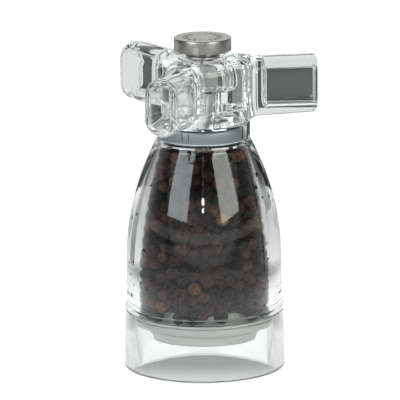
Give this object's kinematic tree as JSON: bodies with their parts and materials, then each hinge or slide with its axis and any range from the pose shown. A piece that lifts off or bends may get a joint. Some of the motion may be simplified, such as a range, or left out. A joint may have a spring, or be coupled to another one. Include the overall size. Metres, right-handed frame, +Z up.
{
  "type": "pepper mill",
  "caption": "Clear bell-shaped pepper mill on an open skirt, with a bright neck ring, a tap handle, and a knob that sets the conical grinder through a square spindle.",
  "frame": {"origin": "centre of the foot, where the turning axis meets the surface that the mill stands on", "axes": "+Z up along the turning axis; +X along one arm of the handle at rest; +Y completes a right-handed frame"},
  "size_m": [0.068, 0.074, 0.1173],
  "materials": {
    "clear_acrylic": "polished clear acrylic",
    "chrome": "bright plated",
    "white_nylon": "moulded",
    "milky_plastic": "moulded, translucent",
    "seal_rubber": "matt",
    "burr_steel": "hardened, machined",
    "steel": "drawn",
    "pepper": "dried, wrinkled",
    "satin_nickel": "satin nickel",
    "brass": "machined"
  },
  "bodies": {
    "body": {"body_shell": "clear_acrylic", "neck_collar": "chrome", "neck_bush": "white_nylon", "burr_carrier": "milky_plastic", "carrier_seal": "seal_rubber", "grinding_ring": "burr_steel", "spindle_guide": "white_nylon", "guide_screw_1": "steel", "guide_screw_2": "steel", "guide_screw_3": "steel", "peppercorn_fill": "pepper"},
    "drive": {"guide_bush": "white_nylon", "burr_spring": "steel"},
    "spindle": {"spindle": "steel", "grinding_cone": "burr_steel", "spring_washer": "steel", "lower_washer": "steel", "retaining_nut": "steel"},
    "head": {"handle": "clear_acrylic", "drive_insert": "satin_nickel", "hub_cap": "clear_acrylic"},
    "knob": {"adjusting_knob": "satin_nickel", "thread_insert": "brass", "knob_washer": "satin_nickel"}
  },
  "joints": [
    {"name": "head_turn", "type": "hinge", "parent": "body", "child": "drive", "pos_m": [0, 0, 0.03], "axis": [0, 0, 1], "continuous": true},
    {"name": "grind_gap", "type": "slide", "parent": "drive", "child": "spindle", "axis": [0, 0, -1], "range_m": [0, 0.0014], "deforming": ["burr_spring"]},
    {"name": "head_lift", "type": "slide", "parent": "drive", "child": "head", "axis": [0, 0, 1], "range_m": [0, 0.04]},
    {"name": "knob_turn", "type": "hinge", "parent": "head", "child": "knob", "pos_m": [0, 0, 0.1125], "axis": [0, 0, 1], "range_deg": [0, 720]}
  ],
  "couplings": [
    {"joint": "knob_turn", "follows": "grind_gap", "rad_per_m": 8976}
  ]
}
